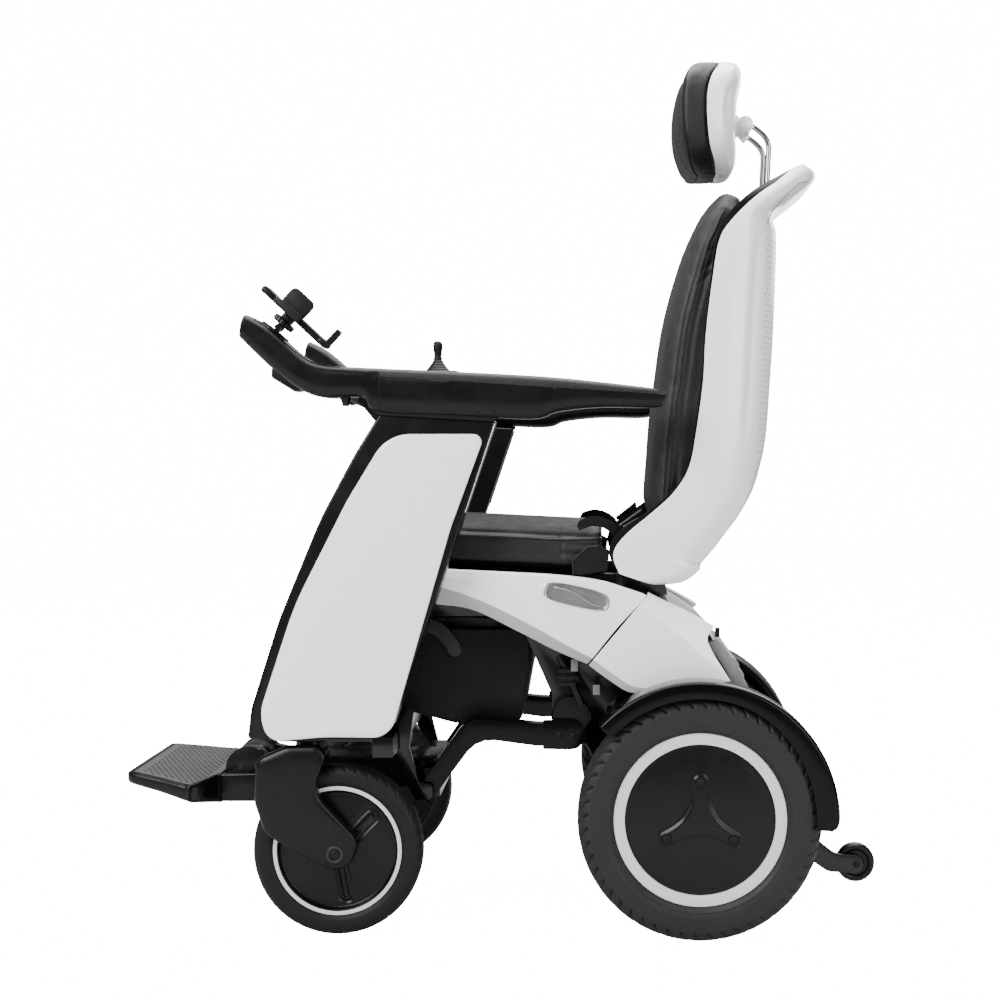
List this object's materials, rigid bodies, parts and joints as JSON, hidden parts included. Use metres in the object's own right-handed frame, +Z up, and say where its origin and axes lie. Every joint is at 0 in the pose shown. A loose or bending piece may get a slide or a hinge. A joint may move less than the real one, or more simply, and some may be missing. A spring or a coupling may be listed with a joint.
{
  "type": "reclining power wheelchair",
  "caption": "Electric wheelchair with a reclining shell back, raisable headrest, flip-up armrests, joystick pod, folding footplate, swivel front castors and large rear drive wheels.",
  "frame": {"origin": "on the floor, under the middle of the chair's box", "axes": "+Z up, +X towards the rider's left, -Y the way the rider faces"},
  "size_m": [0.629, 1.144, 1.3335],
  "materials": {
    "white_plastic": "glossy moulded white",
    "black_plastic": "satin moulded black",
    "grey_plastic": "satin moulded grey",
    "black_steel": "semi-gloss black powder coat",
    "black_leather": "black synthetic leather with sewn seams",
    "tyre_rubber": "matt black rubber",
    "chrome": "polished chrome",
    "webbing": "woven black webbing"
  },
  "bodies": {
    "chassis": {"seat_frame": "black_steel", "front_frame": "black_steel", "lower_tube_left": "black_steel", "lower_tube_right": "black_steel", "side_cover_left": "white_plastic", "side_cover_right": "white_plastic", "rear_cover_left": "white_plastic", "rear_cover_right": "white_plastic", "top_cover": "white_plastic", "tail_panel": "grey_plastic", "pillar_left": "black_plastic", "pillar_right": "black_plastic", "pillar_panel_left": "white_plastic", "pillar_panel_right": "white_plastic", "fender_left": "black_plastic", "fender_right": "black_plastic", "battery_box": "black_plastic", "battery_pack": "grey_plastic", "seat_cushion": "black_leather", "drive_motor_left": "black_steel", "drive_motor_right": "black_steel", "anti_tip_arm_left": "black_steel", "anti_tip_arm_right": "black_steel", "lap_belt_left": "webbing", "lap_belt_right": "webbing"},
    "back": {"backrest_shell": "white_plastic", "backrest_cushion": "black_leather", "backrest_frame": "black_steel"},
    "headrest_bar": {"headrest_posts": "chrome"},
    "headrest": {"headrest_shell": "white_plastic", "headrest_pad": "black_leather"},
    "actuator": {"recline_actuator": "black_steel"},
    "rod": {"recline_rod": "black_steel"},
    "left_arm": {"armrest_left": "black_plastic", "arm_pad_left": "black_leather", "phone_mount": "black_plastic"},
    "right_arm": {"armrest_right": "black_plastic", "arm_pad_right": "black_leather", "joystick_pod": "black_plastic"},
    "cradle": {"phone_cradle": "black_plastic"},
    "jaw": {"phone_jaw": "grey_plastic"},
    "gimbal": {"joystick_gimbal": "black_steel"},
    "stick": {"joystick_stick": "black_plastic"},
    "power_key": {"power_button": "grey_plastic"},
    "horn_key": {"horn_button": "grey_plastic"},
    "recline_key": {"recline_switch": "grey_plastic"},
    "lever": {"battery_lever": "grey_plastic"},
    "foot": {"footplate": "grey_plastic"},
    "fork_left": {"castor_fork_left": "black_plastic"},
    "castor_left": {"castor_tyre_left": "tyre_rubber", "castor_rim_left": "black_plastic"},
    "drive_wheel_left": {"drive_tyre_left": "tyre_rubber", "drive_rim_left": "black_plastic"},
    "tip_wheel_left": {"anti_tip_wheel_left": "tyre_rubber"},
    "fork_right": {"castor_fork_right": "black_plastic"},
    "castor_right": {"castor_tyre_right": "tyre_rubber", "castor_rim_right": "black_plastic"},
    "drive_wheel_right": {"drive_tyre_right": "tyre_rubber", "drive_rim_right": "black_plastic"},
    "tip_wheel_right": {"anti_tip_wheel_right": "tyre_rubber"}
  },
  "joints": [
    {"name": "backrest_recline", "type": "hinge", "parent": "chassis", "child": "back", "pos_m": [0, 0.231, 0.561], "axis": [-1, 0, 0], "range_deg": [0, 35]},
    {"name": "actuator_tilt", "type": "hinge", "parent": "chassis", "child": "actuator", "pos_m": [0, -0.05, 0.4625], "axis": [1, 0, 0], "range_deg": [0, 1.3]},
    {"name": "actuator_stroke", "type": "slide", "parent": "actuator", "child": "rod", "axis": [0, 0.997, 0.0778], "range_m": [-0.0465, 0]},
    {"name": "headrest_height", "type": "slide", "parent": "back", "child": "headrest_bar", "axis": [0, 0.0436, 0.999], "range_m": [0, 0.08]},
    {"name": "headrest_tilt", "type": "hinge", "parent": "headrest_bar", "child": "headrest", "pos_m": [0, 0.393, 1.24], "axis": [1, 0, 0], "range_deg": [-25, 25]},
    {"name": "armrest_left_flip", "type": "hinge", "parent": "chassis", "child": "left_arm", "pos_m": [0.27, -0.186, 0.786], "axis": [1, 0, 0], "range_deg": [0, 80]},
    {"name": "armrest_right_flip", "type": "hinge", "parent": "chassis", "child": "right_arm", "pos_m": [-0.27, -0.186, 0.786], "axis": [1, 0, 0], "range_deg": [0, 80]},
    {"name": "joystick_pitch", "type": "hinge", "parent": "right_arm", "child": "gimbal", "pos_m": [-0.265, -0.129, 0.857], "axis": [1, 0, 0], "range_deg": [-15, 15], "stiffness_Nm_per_rad": 0.1},
    {"name": "joystick_roll", "type": "hinge", "parent": "gimbal", "child": "stick", "pos_m": [-0.265, -0.129, 0.857], "axis": [0, 1, 0], "range_deg": [-15, 15], "stiffness_Nm_per_rad": 0.1},
    {"name": "power_press", "type": "slide", "parent": "right_arm", "child": "power_key", "axis": [0, 0, -1], "range_m": [0, 0.0015], "stiffness_N_per_m": 400},
    {"name": "horn_press", "type": "slide", "parent": "right_arm", "child": "horn_key", "axis": [0, 0, -1], "range_m": [0, 0.0015], "stiffness_N_per_m": 400},
    {"name": "recline_rock", "type": "hinge", "parent": "right_arm", "child": "recline_key", "pos_m": [-0.265, -0.181, 0.85725], "axis": [1, 0, 0], "range_deg": [-6, 6], "stiffness_Nm_per_rad": 0.05},
    {"name": "phone_tilt", "type": "hinge", "parent": "left_arm", "child": "cradle", "pos_m": [0.27, -0.31, 0.892], "axis": [1, 0, 0], "range_deg": [-10, 30]},
    {"name": "jaw_slide", "type": "slide", "parent": "cradle", "child": "jaw", "axis": [1, 0, 0], "range_m": [0, 0.015], "stiffness_N_per_m": 150},
    {"name": "lever_turn", "type": "hinge", "parent": "chassis", "child": "lever", "pos_m": [0.122, -0.128, 0.44], "axis": [-1, 0, 0], "range_deg": [0, 30], "stiffness_Nm_per_rad": 0.3, "springref_deg": -17.19},
    {"name": "footplate_flip", "type": "hinge", "parent": "chassis", "child": "foot", "pos_m": [0, -0.4, 0.208], "axis": [-1, 0, 0], "range_deg": [0, 85]},
    {"name": "castor_swivel_left", "type": "hinge", "parent": "chassis", "child": "fork_left", "pos_m": [0.24, -0.272, 0.272], "axis": [0, 0, 1], "continuous": true},
    {"name": "castor_spin_left", "type": "hinge", "parent": "fork_left", "child": "castor_left", "pos_m": [0.24, -0.227, 0.125], "axis": [1, 0, 0], "continuous": true},
    {"name": "drive_spin_left", "type": "hinge", "parent": "chassis", "child": "drive_wheel_left", "pos_m": [0.27, 0.304, 0.178], "axis": [1, 0, 0], "continuous": true},
    {"name": "tip_spin_left", "type": "hinge", "parent": "chassis", "child": "tip_wheel_left", "pos_m": [0.1955, 0.543, 0.094], "axis": [1, 0, 0], "continuous": true},
    {"name": "castor_swivel_right", "type": "hinge", "parent": "chassis", "child": "fork_right", "pos_m": [-0.24, -0.272, 0.272], "axis": [0, 0, 1], "continuous": true},
    {"name": "castor_spin_right", "type": "hinge", "parent": "fork_right", "child": "castor_right", "pos_m": [-0.24, -0.227, 0.125], "axis": [1, 0, 0], "continuous": true},
    {"name": "drive_spin_right", "type": "hinge", "parent": "chassis", "child": "drive_wheel_right", "pos_m": [-0.27, 0.304, 0.178], "axis": [1, 0, 0], "continuous": true},
    {"name": "tip_spin_right", "type": "hinge", "parent": "chassis", "child": "tip_wheel_right", "pos_m": [-0.1955, 0.543, 0.094], "axis": [1, 0, 0], "continuous": true}
  ],
  "couplings": [
    {"joint": "actuator_stroke", "follows": "backrest_recline", "m_per_rad": -0.07576},
    {"joint": "actuator_tilt", "follows": "backrest_recline", "ratio": 0.0366}
  ]
}
